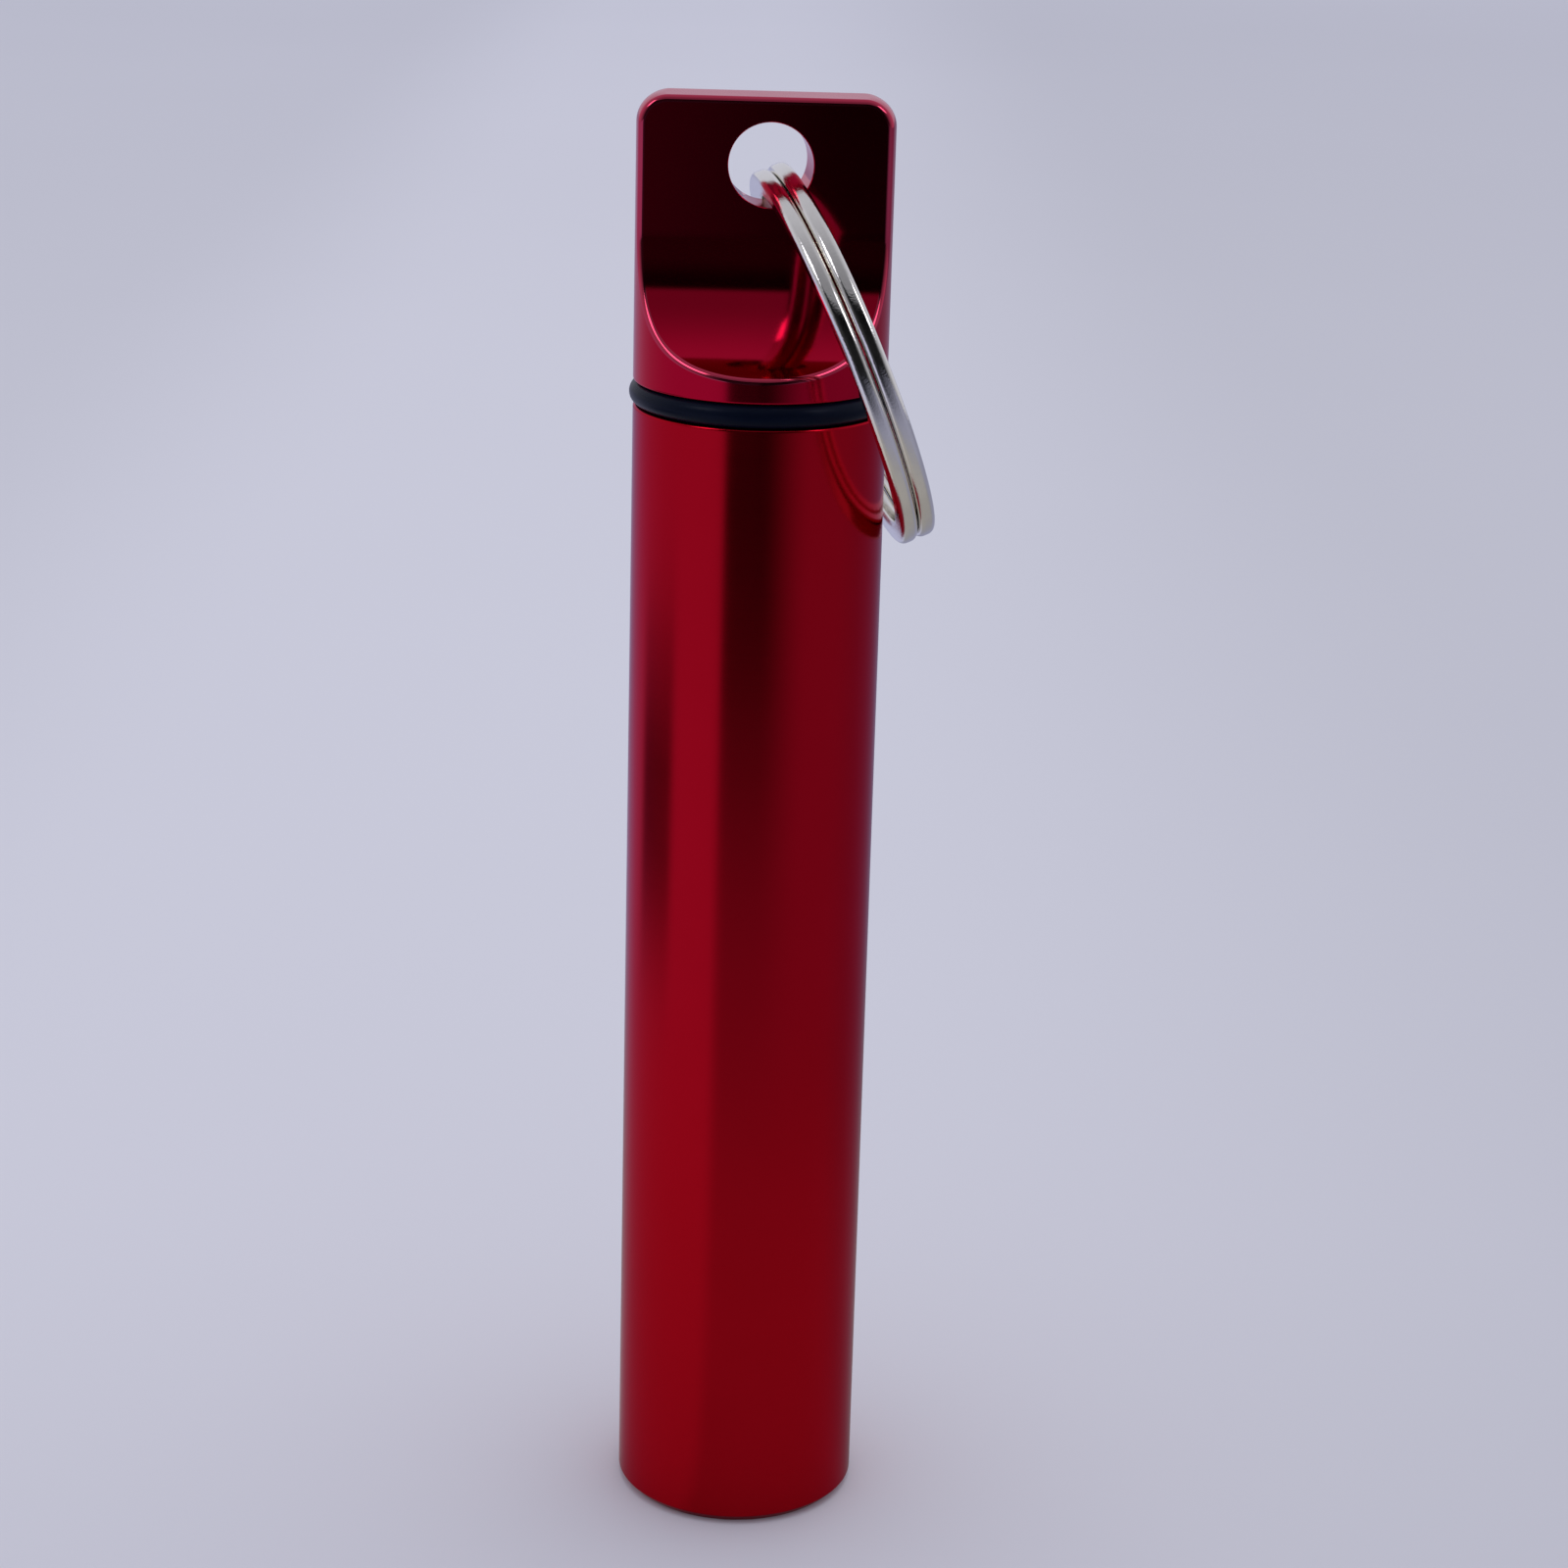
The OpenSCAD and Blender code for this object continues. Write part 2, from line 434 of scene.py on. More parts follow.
class PathTree(Group):
    """A geometry tree for what follows a path: a thread ridge, a coiled wire or a round bead."""

    CORNER_POINTS = 8
    FADED_SIZE = 0.15
    TAPER = 0.3

    def __init__(self, name: str, *sizes: str) -> None:
        """Starts a tree that takes a geometry, named sizes with a number of steps, and a material."""
        takes = dict.fromkeys(("Geometry", *sizes, "Steps", "Material"))
        super().__init__("GeometryNodeTree", name, takes, ["Geometry"])

    def _circling(self, angle: object, radius: object, height: object) -> NodeSocket:
        """Bends a line of as many points as there are steps round Z.

        Args:
            angle: the angle at each point.
            radius: the radius.
            height: the height at each point.

        Returns:
            The line as a curve.
        """
        line = self.out("GeometryNodeCurvePrimitiveLine", {"End": (1.0, 0.0, 0.0)})
        feed = {"Curve": line, "Count": self.given["Steps"]}
        points = self.out("GeometryNodeResampleCurve", feed)
        x = self.product(self.math("COSINE", angle), radius)
        y = self.product(self.math("SINE", angle), radius)
        place = self.out("ShaderNodeCombineXYZ", {"X": x, "Y": y, "Z": height})
        return self.out("GeometryNodeSetPosition", {"Geometry": points, "Position": place})

    def _rounded(self) -> NodeSocket:
        """Makes a rounded rectangle, with each side cut into short stretches.

        Returns:
            The rectangle as a curve.
        """
        feed = {"Width": self.given["Width"], "Height": self.given["Thickness"]}
        flat = self.out("GeometryNodeCurvePrimitiveQuadrilateral", feed)
        feed = {"Curve": flat, "Radius": self.given["Rounding"], "Count": self.CORNER_POINTS}
        fillet = self.out("GeometryNodeFilletCurve", feed, mode="POLY")
        return self.out("GeometryNodeSubdivideCurve", {"Curve": fillet, "Cuts": 1})

    def _finish(self, path: object, section: object, size: object = None) -> NodeTree:
        """Sweeps a section along a path, makes it real and sets its material.

        Args:
            path: the path, as a curve.
            section: the section, as a curve.
            size: for a path with ends, the section's size along it.

        Returns:
            The finished tree.
        """
        if size is not None:
            path = self.out("GeometryNodeSetCurveRadius", {"Curve": path, "Radius": size})
        upright = self.out("GeometryNodeSetCurveNormal", {"Curve": path}, mode="Z_UP")
        feed = {"Curve": upright, "Profile Curve": section, "Fill Caps": size is not None}
        if size is not None:
            feed["Scale"] = self.out("GeometryNodeInputRadius")
        sweep = self.out("GeometryNodeCurveToMesh", feed)
        real = self.out("GeometryNodeRealizeInstances", {0: sweep})
        feed = {"Geometry": real, "Material": self.given["Material"]}
        self.add("NodeGroupOutput", {0: self.out("GeometryNodeSetMaterial", feed)})
        return self.tree

    @classmethod
    def ridge(cls) -> NodeTree:
        """Makes a thread ridge: a trapezoid that climbs a helix and fades in and out at its ends.

        Returns:
            The tree.
        """
        tree = cls("thread_ridge", "Root Radius", "Height", "Crest", "Flank", "Pitch", "First Turn", "Turns",
                   "Fade", "Foot")
        given = tree.given
        along = tree.add("GeometryNodeSplineParameter").outputs["Factor"]
        turned = tree.math("MULTIPLY_ADD", along, given["Turns"], given["First Turn"])
        height = tree.math("MULTIPLY_ADD", turned, given["Pitch"], given["Foot"])
        helix = tree._circling(tree.product(turned, 2 * math.pi), given["Root Radius"], height)
        gone = tree.product(along, given["Turns"])
        near = tree.math("DIVIDE", tree.math("MINIMUM", gone, tree.less(given["Turns"], gone)), given["Fade"])
        size = tree.math("MAXIMUM", tree.math("MINIMUM", near, 1.0), cls.FADED_SIZE)
        half = tree.product(given["Crest"], 0.5)
        spread = tree.math("MULTIPLY_ADD", tree.math("ABSOLUTE", given["Height"]), given["Flank"], half)
        outline = tree.add("GeometryNodeCurvePrimitiveQuadrilateral", mode="POINTS")
        for number, (reach, up) in enumerate(((0.0, -1.0), (1.0, -1.0), (1.0, 1.0), (0.0, 1.0)), start=1):
            rise = tree.product(half if reach else spread, up)
            spot = tree.out("ShaderNodeCombineXYZ", {"X": tree.product(given["Height"], reach), "Y": rise})
            tree.give(outline.inputs[f"Point {number}"], spot)
        return tree._finish(helix, outline.outputs[0], size)

    @classmethod
    def coil(cls) -> NodeTree:
        """Makes a wire in coils that lie side by side, with a smooth step from each to the next.

        Returns:
            The tree.
        """
        tree = cls("coiled_wire", "Radius", "Width", "Thickness", "Rounding", "Coil Step", "Turns",
                   "Step Turn", "Start Turn", "End Taper")
        given = tree.given
        turned = tree.product(tree.add("GeometryNodeSplineParameter").outputs["Factor"], given["Turns"])
        angle = tree.product(tree.math("ADD", turned, given["Start Turn"]), 2 * math.pi)
        crossing = tree.ramp(turned, Step(tree.less(1.0, given["Step Turn"]), 1.0, 0.0, 1.0))
        path = tree._circling(angle, given["Radius"], tree.about_zero(crossing, given["Coil Step"]))
        left = tree.less(given["Turns"], turned)
        near = tree.math("DIVIDE", tree.math("MINIMUM", turned, left), given["End Taper"])
        bare = tree.less(1.0, tree.math("MINIMUM", near, 1.0))
        return tree._finish(path, tree._rounded(), tree.less(1.0, tree.product(bare, bare, cls.TAPER)))

    @classmethod
    def bead(cls) -> NodeTree:
        """Makes a round bead: a rounded section that follows a circle.

        Returns:
            The tree.
        """
        tree = cls("round_bead", "Radius", "Width", "Thickness", "Rounding")
        feed = {"Resolution": tree.given["Steps"], "Radius": tree.given["Radius"]}
        return tree._finish(tree.out("GeometryNodeCurvePrimitiveCircle", feed), tree._rounded())


# Finishes


class Effects:
    """Shader groups that more than one finish uses."""

    CLOUD_IN_HEIGHT = 0.4

    def __init__(self) -> None:
        """Builds each group once."""
        self.mottle = self._mottle()
        self.turning = self._turning()

    def _mottle(self) -> NodeTree:
        """Makes slow uneven tone and fine grain, as values about zero and a height.

        Returns:
            The group.
        """
        takes = {"Cloud Scale": 120.0, "Grain Scale": 9000.0, "Grain Depth": 1.0}
        group = Group("ShaderNodeTree", "surface_mottle", takes, ["Tone", "Grain", "Height"])
        place, given = group.add("ShaderNodeTexCoord").outputs["Object"], group.given
        tone = group.less(group.noise(place, given["Cloud Scale"], 3.0, 0.55), 0.5)
        fine = group.about_zero(group.noise(place, given["Grain Scale"], 2.0, 0.6), given["Grain Depth"])
        height = group.math("ADD", group.product(tone, self.CLOUD_IN_HEIGHT), fine)
        group.add("NodeGroupOutput", {"Tone": tone, "Grain": fine, "Height": height})
        return group.tree

    def _turning(self) -> NodeTree:
        """Makes the marks that a lathe tool leaves: fine rings about Z, as a value about zero.

        Returns:
            The group.
        """
        takes = {"Rings": 14000.0, "Drift": 70.0, "Depth": 0.1}
        group = Group("ShaderNodeTree", "turning_marks", takes, ["Marks"])
        parts = group.place("Object")[1]
        scales = {"X": "Drift", "Y": "Drift", "Z": "Rings"}
        feed = {axis: group.product(parts[axis], group.given[scale]) for axis, scale in scales.items()}
        rings = group.noise(group.out("ShaderNodeCombineXYZ", feed), 1.0, 3.0, 0.7)
        group.add("NodeGroupOutput", {"Marks": group.about_zero(rings, group.given["Depth"])})
        return group.tree


@dataclass(frozen=True)
class Finish:
    """What every finish has: colours, gloss, and slow and fine unevenness.

    Scales are in features a metre, and the depth of the bump is in metres.
    """

    name: str
    colour: Colour
    deep_colour: Colour
    roughness: float
    uneven: float
    bump: float
    middle_tone: float = 0.5
    bump_depth: float = 1e-5
    cloud_scale: float = 300.0
    grain_scale: float = 7000.0
    grain_depth: float = 1.0

    def constants(self) -> dict[str, object]:
        """Plain values for the shader's own sockets."""
        return {}

    def relief(self, graph: Graph, effects: Effects, mottle: object) -> tuple[NodeSocket, NodeSocket]:
        """The slow unevenness and the height of the surface."""
        return mottle["Tone"], mottle["Height"]

    def build(self, effects: Effects) -> Material:
        """Makes the material.

        Args:
            effects: the shared shader groups.

        Returns:
            The material.
        """
        material = bpy.data.materials.new(self.name)
        material.use_nodes = True
        material.diffuse_color = (*self.colour, 1.0)
        graph = Graph(material.node_tree)
        shader = graph.add("ShaderNodeBsdfPrincipled", self.constants())
        graph.add("ShaderNodeOutputMaterial", {"Surface": shader.outputs[0]})
        feed = {"Cloud Scale": self.cloud_scale, "Grain Scale": self.grain_scale}
        feed["Grain Depth"] = self.grain_depth
        mottle = graph.add("ShaderNodeGroup", feed, node_tree=effects.mottle).outputs
        slow, height = self.relief(graph, effects, mottle)
        tone = graph.math("ADD", slow, self.middle_tone, clamp=True)
        rough = graph.math("ADD", graph.product(slow, self.uneven), self.roughness, clamp=True)
        feed = {"Height": height, "Strength": self.bump, "Distance": self.bump_depth}
        bump = graph.out("ShaderNodeBump", feed)
        graph.give(shader.inputs["Base Color"], graph.mix(tone, self.deep_colour, self.colour))
        graph.give(shader.inputs["Roughness"], rough)
        graph.give(shader.inputs["Normal"], bump)
        return material


@dataclass(frozen=True)
class AnodisedRed(Finish):
    """Bright red dyed anodising over turned aluminium."""

    roughness: float = 0.17
    uneven: float = 0.10
    bump: float = 0.5
    middle_tone: float = 0.6
    bump_depth: float = 4e-6
    cloud_scale: float = 140.0
    grain_scale: float = 14000.0
    edge_tint: Colour = (1.0, 0.72, 0.78)
    marks_depth: float = 0.35
    grain_in_height: float = 0.5

    def constants(self) -> dict[str, object]:
        """Metal, with its own tint at grazing angles."""
        return {"Metallic": 1.0, "Specular Tint": (*self.edge_tint, 1.0)}

    def relief(self, graph: Graph, effects: Effects, mottle: object) -> tuple[NodeSocket, NodeSocket]:
        """Adds the lathe's marks to the mottle.

        Args:
            graph: the material's graph.
            effects: the shared shader groups.
            mottle: outputs of the mottle.

        Returns:
            The slow unevenness and the height of the surface.
        """
        feed = {"Depth": self.marks_depth}
        marks = graph.out("ShaderNodeGroup", feed, node_tree=effects.turning)
        fine = graph.product(mottle["Grain"], self.grain_in_height)
        return graph.math("ADD", mottle["Tone"], marks), graph.math("ADD", fine, marks)


@dataclass(frozen=True)
class MilledRed(AnodisedRed):
    """The same dye over smoother, milled aluminium."""

    roughness: float = 0.09
    uneven: float = 0.05
    bump: float = 0.3
    marks_depth: float = 0.1


@dataclass(frozen=True)
class NickelPlate(Finish):
    """Bright nickel plate over tumbled steel wire."""

    roughness: float = 0.08
    uneven: float = 0.08
    bump: float = 0.5
    middle_tone: float = 0.6
    bump_depth: float = 2.5e-5
    cloud_scale: float = 1500.0
    grain_scale: float = 9000.0
    grain_depth: float = 0.6

    def constants(self) -> dict[str, object]:
        """Metal."""
        return {"Metallic": 1.0}


@dataclass(frozen=True)
class BlackRubber(Finish):
    """Moulded black rubber, smooth and slightly glossy."""

    roughness: float = 0.32
    uneven: float = 0.2
    bump: float = 0.3
    shine: float = 0.07

    def constants(self) -> dict[str, object]:
        """Little shine."""
        return {"Specular IOR Level": self.shine}


# Pieces


def hand_over(piece: Object, body: Body, stands_for: str | None = None) -> None:
    """Gives a finished piece its body and the CAD node that it stands for.

    Args:
        piece: the piece, finished.
        body: the body that it rides on.
        stands_for: the CAD node that it replaces, if any.
    """
    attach(piece, body.value)
    if stands_for:
        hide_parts(stands_for)
    piece.data.calc_loop_triangles()
    log.info("%s: %d triangles on %s", piece.name, len(piece.data.loop_triangles), body.value)


@dataclass(frozen=True)
class Stretch:
    """Where a ridge runs: the wall that it leaves, its crest, its two heights, and its shift in pitches."""

    root: float
    crest: float
    low: float
    high: float
    shift: float


@dataclass
class Thread:
    """The right-hand thread that the tube and the cap share. Sizes in millimetres."""

    pitch: float = 1.25
    crest: float = 0.16
    flank_deg: float = 30.0
    buried: float = 0.25
    fade_turns: float = 0.25
    steps_a_turn: int = 96
    datum: float = 75.0
    sharp_deg: float = 35.0

    def ridge(self, name: str, stretch: Stretch, finish: Material, tree: NodeTree) -> Object:
        """Makes one ridge between two heights.

        Args:
            name: name of the piece.
            stretch: where it runs.
            finish: its finish.
            tree: the geometry tree of a ridge.

        Returns:
            The ridge as a plain mesh at the origin.
        """
        side = math.copysign(1.0, stretch.crest - stretch.root)
        reach = abs(stretch.crest - stretch.root) + self.buried
        slope = math.tan(math.radians(self.flank_deg))
        half = self.crest / 2 + reach * slope
        first = (stretch.low + half - self.datum) / self.pitch - stretch.shift
        turns = (stretch.high - half - self.datum) / self.pitch - stretch.shift - first
        piece = geometry_mesh(name, tree, {
            "Root Radius": stretch.root - side * self.buried,
            "Height": side * reach,
            "Crest": self.crest,
            "Flank": slope,
            "Pitch": self.pitch,
            "First Turn": first,
            "Turns": turns,
            "Fade": self.fade_turns,
            "Foot": self.datum + stretch.shift * self.pitch,
            "Steps": int(turns * self.steps_a_turn),
            "Material": finish,
        })
        piece.data.set_sharp_from_angle(angle=math.radians(self.sharp_deg))
        piece.data.transform(TO_METRES)
        return piece


@dataclass
class CapsuleTube:
    """The turned tube with its blind bore and threaded mouth. Sizes in millimetres."""

    radius: float = 8.0
    height: float = 75.0
    bore: float = 6.35
    mouth: float = 7.05
    mouth_end: float = 68.7
    floor: float = 2.0
    foot_break: float = 0.6
    foot_round: float = 0.25
    lip_round: float = 0.2
    mouth_round: float = 0.1
    floor_round: float = 0.4
    thread_shift: float = 0.5
    around: int = 256
    thread: Thread = field(default_factory=Thread)

    def build(self, finish: Material, tree: NodeTree) -> None:
        """Makes the tube and the ridge of its thread.

        Args:
            finish: finish of both.
            tree: geometry tree of a thread ridge.
        """
        cone_end = self.mouth_end - (self.mouth - self.bore)
        shell = Shell()
        TurnedOutline((
            Corner(0, 0),
            Corner(self.radius - self.foot_break, 0, self.foot_round),
            Corner(self.radius, self.foot_break, self.foot_round),
            Corner(self.radius, self.height, self.lip_round),
            Corner(self.mouth, self.height, self.lip_round),
            Corner(self.mouth, self.mouth_end, self.mouth_round),
            Corner(self.bore, cone_end, self.mouth_round),
            Corner(self.bore, self.floor, self.floor_round),
            Corner(0, self.floor),
        )).revolve(shell, self.around)
        tube = shell.build("tube_body")
        tube.data.materials.append(finish)
        hand_over(tube, Body.TUBE, "capsule_tube")
        high = self.height - self.lip_round
        stretch = Stretch(self.mouth, self.bore, self.mouth_end, high, self.thread_shift)
        hand_over(self.thread.ridge("tube_thread", stretch, finish, tree), Body.TUBE)


@dataclass
class ScrewCap:
    """The cap: a turned blank with a flat tab between two scoops, a cross hole and a threaded neck."""

    radius: float = 8.0
    shoulder: float = 76.5
    height: float = 17.8
    top_round: float = 1.8
    skirt: float = 1.55
    scoop: float = 8.6
    tab: float = 4.0
    edge: float = 0.42
    eye: float = 2.6
    eye_edge: float = 0.07
    eye_drop: float = 4.1
    eye_shift: float = 0.15
    eye_skew_deg: float = 5.75
    relief: float = 6.0
    relief_end: float = 74.6
    relief_round: float = 0.15
    neck: float = 6.2
    neck_crest: float = 6.9
    neck_top: float = 74.4
    neck_top_round: float = 0.05
    neck_end: float = 69.5
    neck_bevel: float = 0.7
    neck_round: float = 0.1
    shoulder_round: float = 0.2
    half_around: int = 128
    edge_steps: int = 8
    scoop_steps: int = 48
    straight_steps: int = 8
    corner_steps: int = 16
    eye_steps: int = 96
    eye_edge_steps: int = 4
    thread: Thread = field(default_factory=Thread)

    def __post_init__(self) -> None:
        """Works out where the scoop and the top lie."""
        self.top = self.shoulder + self.height
        self.scoop_y = self.tab / 2 + self.scoop
        drop = math.sqrt(self.scoop**2 - (self.scoop_y - self.radius) ** 2)
        self.scoop_z = self.shoulder + self.skirt + drop
        self.eye_z = self.top - self.eye_drop
        self.shell = Shell()
        self.rim = self._rim()

    def _rim(self) -> list[RimRow]:
        """Follows the edge between the turned outside and the tab's face, for +X and +Y.

        Returns:
            From the middle below to the middle of the top: the centre of the rounding, the normal of the
            outside and the normal of the face.
        """
        e, rows = self.edge, []
        inner = self.radius - e
        reach = self.scoop + e
        last = math.acos((self.scoop_y - inner) / reach)
        for i in range(self.scoop_steps + 1):
            a = last * (1 - (i / self.scoop_steps) ** 2)
            y = self.scoop_y - reach * math.cos(a)
            x = math.sqrt(max(0.0, inner**2 - y**2))
            face = np.array([0.0, math.cos(a), math.sin(a)])
            rows.append((np.array([x, y, self.scoop_z - reach * math.sin(a)]), np.array([x, y, 0.0]), face))
        y = self.tab / 2 - e
        face = np.array([0.0, 1.0, 0.0])
        x = math.sqrt(inner**2 - y**2)
        for z in np.linspace(self.scoop_z, self.top - self.top_round, self.straight_steps + 1)[1:]:
            rows.append((np.array([x, y, z]), np.array([x, y, 0.0]), face))
        for a in np.linspace(0, math.pi / 2, self.corner_steps + 1)[1:]:
            ring = self.radius - self.top_round + (self.top_round - e) * math.cos(a)
            x = math.sqrt(ring**2 - y**2)
            z = self.top - self.top_round + (self.top_round - e) * math.sin(a)
            out = np.array([x / ring * math.cos(a), y / ring * math.cos(a), math.sin(a)])
            rows.append((np.array([x, y, z]), out, face))
        for share in np.linspace(1, 0, self.straight_steps + 1)[1:]:
            rows.append((np.array([x * share, y, self.top - e]), np.array([0.0, 0.0, 1.0]), face))
        return [(c, n / np.linalg.norm(n), f) for c, n, f in rows]

    def _edge_arc(self, centre: np.ndarray, out: np.ndarray, face: np.ndarray) -> tuple[list, list]:
        """Rounds the edge from the outside to the face.

        Args:
            centre: centre of the rounding.
            out: normal of the outside.
            face: normal of the face.

        Returns:
            The points and the normals.
        """
        whole = math.acos(float(np.clip(out @ face, -1, 1)))
        normals = [
            (math.sin(whole * (1 - k)) * out + math.sin(whole * k) * face) / math.sin(whole)
            for k in np.linspace(0, 1, self.edge_steps + 1)
        ]
        return [centre + self.edge * n for n in normals], normals

    def _faces(self, side: Side) -> None:
        """Makes the rounded edge, the scoop and the flat face on one side of the tab.

        Args:
            side: the side to make.
        """
        shell = self.shell
        halves = []
        for sx in (1, -1):
            turn = np.array([sx, side.value, 1.0])
            rows, ends = [], []
            for row in self.rim:
                points, normals = self._edge_arc(*row)
                rows.append(shell.add([p * turn for p in points], [n * turn for n in normals]))
                ends.append((points[-1] * turn, normals[-1] * turn))
            shell.fill(rows, Skin.BROKEN)
            halves.append(ends)
        right, left = halves
        flat_from = next(i for i, (_, _, face) in enumerate(self.rim) if face[1] > SQUARE)
        for i in range(flat_from):
            pairs = [shell.add([right[k][0], left[k][0]], [right[k][1], left[k][1]]) for k in (i, i + 1)]
            shell.fill(pairs, Skin.MILLED)
        normal = (0.0, float(side.value), 0.0)
        loop = [p for p, _ in right[flat_from:]] + [p for p, _ in left[flat_from:-1]][::-1]
        hole = self._eye_loop(side, 0.0)[0][::-1]
        flat = [[Vector((p[0], p[2], 0)) for p in ring] for ring in (loop, hole)]
        ids = shell.add([*loop, *hole], [normal] * (len(loop) + len(hole)))
        for triangle in tessellate_polygon(flat):
            shell.face([ids[i] for i in triangle], Skin.MILLED)

    def _eye_loop(self, side: Side, turn: float) -> tuple[list, list]:
        """Makes a loop of the cross hole's rounded rim.

        Args:
            side: the side of the tab.
            turn: 0 where the rim leaves the flat face, 1 where it reaches the hole's wall.

        Returns:
            The points and the normals.
        """
        skew = math.radians(self.eye_skew_deg)
        across = np.array([math.cos(skew), math.sin(skew), 0.0])
        along = np.array([-math.sin(skew), math.cos(skew), 0.0])
        flat = np.array([0.0, side.value, 0.0])
        e, a = self.eye_edge, turn * math.pi / 2
        depth = side.value * (self.tab / 2 - e * (1 - math.cos(a)))
        points, normals = [], []
        for b in (2 * math.pi * k / self.eye_steps for k in range(self.eye_steps)):
            inward = -(across * math.cos(b) + np.array([0.0, 0.0, 1.0]) * math.sin(b))
            ray = -inward * (self.eye + e * (1 - math.sin(a)))
            start = np.array([self.eye_shift, 0.0, self.eye_z]) + ray
            points.append(start + along * (depth - start[1]) / along[1])
            n = math.cos(a) * flat + math.sin(a) * inward
            normals.append(n / np.linalg.norm(n))
        return points, normals

    def _eye_wall(self) -> None:
        """Makes the wall of the cross hole, with its rounded rims."""
        turns = [k / self.eye_edge_steps for k in range(self.eye_edge_steps + 1)]
        spots = [(Side.FRONT, t) for t in turns] + [(Side.BACK, t) for t in turns[::-1]]
        loops = [self._eye_loop(*spot) for spot in spots]
        self.shell.fill([self.shell.add([*p, p[0]], [*n, n[0]]) for p, n in loops], Skin.MILLED)

    def _outside(self) -> None:
        """Makes the turned outside between the two faces, and the flat top."""
        shell = self.shell
        last = next(i for i, (_, out, _) in enumerate(self.rim) if out[2] > SQUARE)
        edge = [centre + self.edge * out for centre, out, _ in self.rim]
        tops = []
        for sx in (1, -1):
            rows = []
            for spot, (_, out, _) in zip(edge[: last + 1], self.rim, strict=False):
                ring = math.hypot(spot[0], spot[1])
                start = math.atan2(spot[0], spot[1])
                flat = math.hypot(out[0], out[1])
                steps = range(self.half_around + 1)
                angles = [start + (math.pi - 2 * start) * j / self.half_around for j in steps]
                points = [(sx * ring * math.sin(a), ring * math.cos(a), spot[2]) for a in angles]
                normals = [(sx * flat * math.sin(a), flat * math.cos(a), out[2]) for a in angles]
                rows.append(shell.add(points, normals))
            shell.fill(rows)
            tops.append(rows[-1])
        right = [shell.points[i] for i in tops[0]]
        line = edge[last + 1:]
        front = [(x, -y, z) for x, y, z in line] + [(-x, -y, z) for x, y, z in line[-2::-1]]
        half = [*right, *front]
        loop = half + [(-x, -y, z) for x, y, z in half]
        shell.face(shell.add(loop, [(0.0, 0.0, 1.0)] * len(loop)))

    def _lower(self) -> None:
        """Makes the skirt, the shoulder, the relief for the O-ring and the neck."""
        TurnedOutline((
            Corner(0, self.neck_end),
            Corner(self.neck - self.neck_bevel, self.neck_end, self.neck_round),
            Corner(self.neck, self.neck_end + self.neck_bevel, self.neck_round),
            Corner(self.neck, self.neck_top, self.neck_top_round),
            Corner(self.relief, self.relief_end, self.neck_round),
            Corner(self.relief, self.shoulder, self.relief_round),
            Corner(self.radius, self.shoulder, self.shoulder_round),
            Corner(self.radius, self.rim[0][0][2]),
        )).revolve(self.shell, 2 * self.half_around)

    def build(self, finishes: dict[Skin, Material], tree: NodeTree) -> None:
        """Makes the cap and the ridge of its thread.

        Args:
            finishes: the turned outside, the milled faces, and the broken edges, whose paler, pinker red is a
                painted sheen.
            tree: geometry tree of a thread ridge.
        """
        for side in Side:
            self._faces(side)
        self._eye_wall()
        self._outside()
        self._lower()
        cap = self.shell.build("cap_body")
        for skin in Skin:
            cap.data.materials.append(finishes[skin])
        hand_over(cap, Body.CAP, "screw_cap")
        stretch = Stretch(self.neck, self.neck_crest, self.neck_end + self.neck_bevel, self.neck_top, 0.0)
        hand_over(self.thread.ridge("cap_thread", stretch, finishes[Skin.TURNED], tree), Body.CAP)


@dataclass
class SealRing:
    """The O-ring, squeezed between the cap's shoulder and the tube's lip. Sizes in millimetres."""

    inside: float = 6.25
    width: float = 1.985
    height: float = 1.5
    flat: float = 0.02
    foot: float = 75.0
    steps: int = 256

    def build(self, finish: Material, tree: NodeTree) -> None:
        """Makes the O-ring.

        Args:
            finish: its finish.
            tree: geometry tree of a round bead.
        """
        ring = geometry_mesh("seal_ring", tree, {
            "Radius": self.inside + self.width / 2,
            "Width": self.width,
            "Thickness": self.height,
            "Rounding": (self.height - self.flat) / 2,
            "Steps": self.steps,
            "Material": finish,
        })
        ring.data.transform(TO_METRES @ Matrix.Translation((0, 0, self.foot + self.height / 2)))
        hand_over(ring, Body.SEAL, "o_ring")


